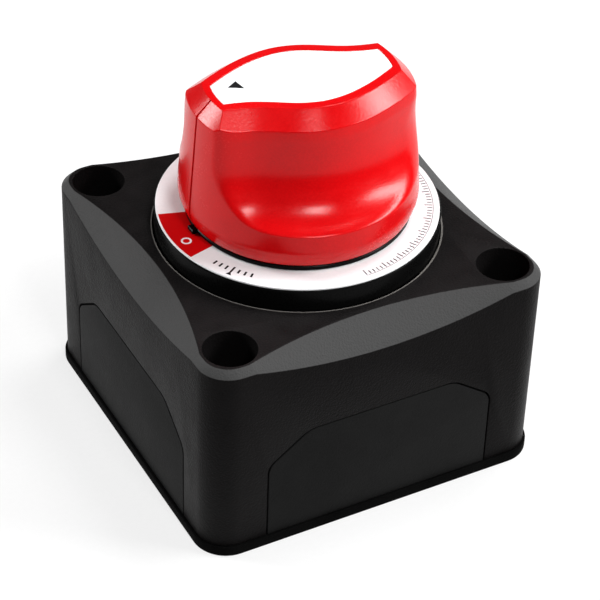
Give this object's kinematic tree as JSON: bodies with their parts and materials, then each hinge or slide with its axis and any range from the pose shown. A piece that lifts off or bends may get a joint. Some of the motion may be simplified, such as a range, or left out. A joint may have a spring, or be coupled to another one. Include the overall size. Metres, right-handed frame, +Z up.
{
  "type": "battery switch",
  "caption": "Rotary battery isolator switch for a boat: square surface-mount case with removable side plates, round dial and a lift-off red key knob.",
  "frame": {"origin": "centre of the underside of the base plate, on the dial axis", "axes": "+Z up along the dial axis, towards the knob; -X towards the side that the knob points at when the switch is off; -Y towards the front side plate"},
  "size_m": [0.07, 0.07, 0.0747],
  "materials": {
    "case_plastic": "fine matte moulding texture",
    "plate_plastic": "fine matte moulding texture",
    "collar_plastic": "satin",
    "black_rubber": "matte",
    "label_white": "printed film",
    "insert_white": "satin",
    "knob_red": "semi-gloss with a fine texture",
    "insulator": "glass-filled moulding",
    "zinc_steel": "zinc plated",
    "spring_steel": "bright wire",
    "ball_steel": "polished",
    "plated_steel": "satin plated",
    "tinned_copper": "tin plated copper alloy",
    "copper": "bright copper",
    "silver": "satin silver"
  },
  "bodies": {
    "base": {"base_plate": "case_plastic"},
    "case": {"housing": "case_plastic", "dial_collar": "collar_plastic", "collar_gasket": "black_rubber", "dial_label": "label_white", "detent_spring": "spring_steel", "contact_base": "insulator", "fixed_contacts": "silver", "stud_jam_nuts": "plated_steel", "stud_washers": "plated_steel", "stud_lock_washers": "plated_steel", "stud_nuts": "plated_steel", "case_screws": "zinc_steel", "terminal_stud_supply": "tinned_copper", "terminal_stud_load": "tinned_copper"},
    "plate_front": {"side_plate_front": "plate_plastic"},
    "plate_right": {"side_plate_right": "plate_plastic"},
    "plate_back": {"side_plate_back": "plate_plastic"},
    "plate_left": {"side_plate_left": "plate_plastic"},
    "rotor": {"rotor_disc": "collar_plastic", "shaft_seal": "black_rubber", "contact_carrier": "insulator", "carrier_screw": "zinc_steel", "contact_spring": "spring_steel"},
    "bridge": {"contact_bar": "copper", "moving_contacts": "silver"},
    "key_knob": {"knob": "knob_red", "knob_label": "insert_white", "knob_grip_ring": "black_rubber"},
    "detent": {"detent_ball": "ball_steel"}
  },
  "joints": [
    {"name": "rotor_turn", "type": "hinge", "parent": "case", "child": "rotor", "pos_m": [0, 0, 0.0426], "axis": [0, 0, 1], "range_deg": [-90, 33.4]},
    {"name": "knob_lift", "type": "slide", "parent": "rotor", "child": "key_knob", "axis": [0, 0, 1], "range_m": [0, 0.02]},
    {"name": "contact_lift", "type": "slide", "parent": "rotor", "child": "bridge", "axis": [0, 0, 1], "range_m": [0, 0.0005], "stiffness_N_per_m": 500, "springref_m": -0.001, "deforming": ["contact_spring"]},
    {"name": "detent_travel", "type": "slide", "parent": "case", "child": "detent", "axis": [1, 0, 0], "range_m": [-0.0008, 0]},
    {"name": "case_lift", "type": "slide", "parent": "base", "child": "case", "axis": [0, 0, 1], "range_m": [0, 0.015]},
    {"name": "plate_front_pull", "type": "slide", "parent": "case", "child": "plate_front", "axis": [0, -1, 0], "range_m": [0, 0.01]},
    {"name": "plate_right_pull", "type": "slide", "parent": "case", "child": "plate_right", "axis": [1, 0, 0], "range_m": [0, 0.01]},
    {"name": "plate_back_pull", "type": "slide", "parent": "case", "child": "plate_back", "axis": [0, 1, 0], "range_m": [0, 0.01]},
    {"name": "plate_left_pull", "type": "slide", "parent": "case", "child": "plate_left", "axis": [-1, 0, 0], "range_m": [0, 0.01]}
  ]
}
